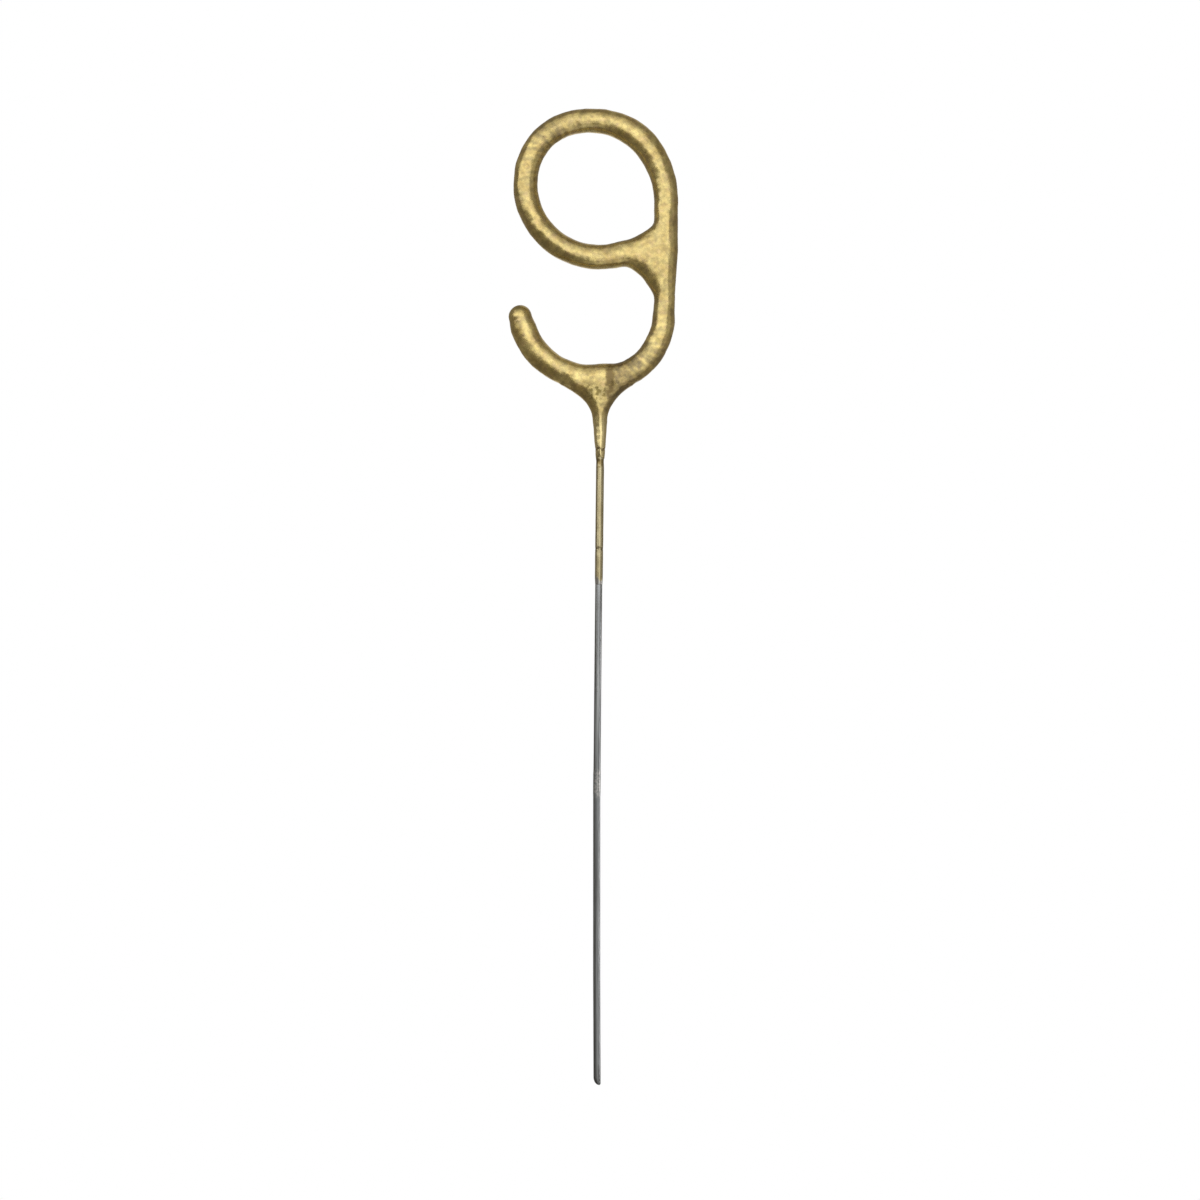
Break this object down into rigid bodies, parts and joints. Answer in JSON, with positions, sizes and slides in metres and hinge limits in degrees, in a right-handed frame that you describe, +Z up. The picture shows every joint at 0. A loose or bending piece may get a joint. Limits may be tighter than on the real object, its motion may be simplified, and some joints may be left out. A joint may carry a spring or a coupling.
{
  "type": "numeral sparkler",
  "caption": "Hand-held numeral sparkler: a looped and hooked wire figure dipped in gold-painted composition, flaring down on to a straight bare steel stem.",
  "frame": {"origin": "lower tip of the stem wire, on its axis", "axes": "+Z up the stem towards the numeral; +X to the right as the numeral is read, which is from the -Y side; Y is the depth"},
  "size_m": [0.0311, 0.0044, 0.1779],
  "materials": {
    "steel": "drawn",
    "weld": "dull",
    "composition": "granular",
    "gold_paint": "metallic satin",
    "gold_film": "metallic satin"
  },
  "bodies": {
    "root": {"stem_wire": "steel", "figure_wire": "steel", "stem_weld": "weld", "loop_weld": "weld", "first_dip_coat": "composition", "second_dip_coat": "composition", "gold_skin": "gold_paint", "stem_gilding": "gold_film"}
  },
  "joints": []
}
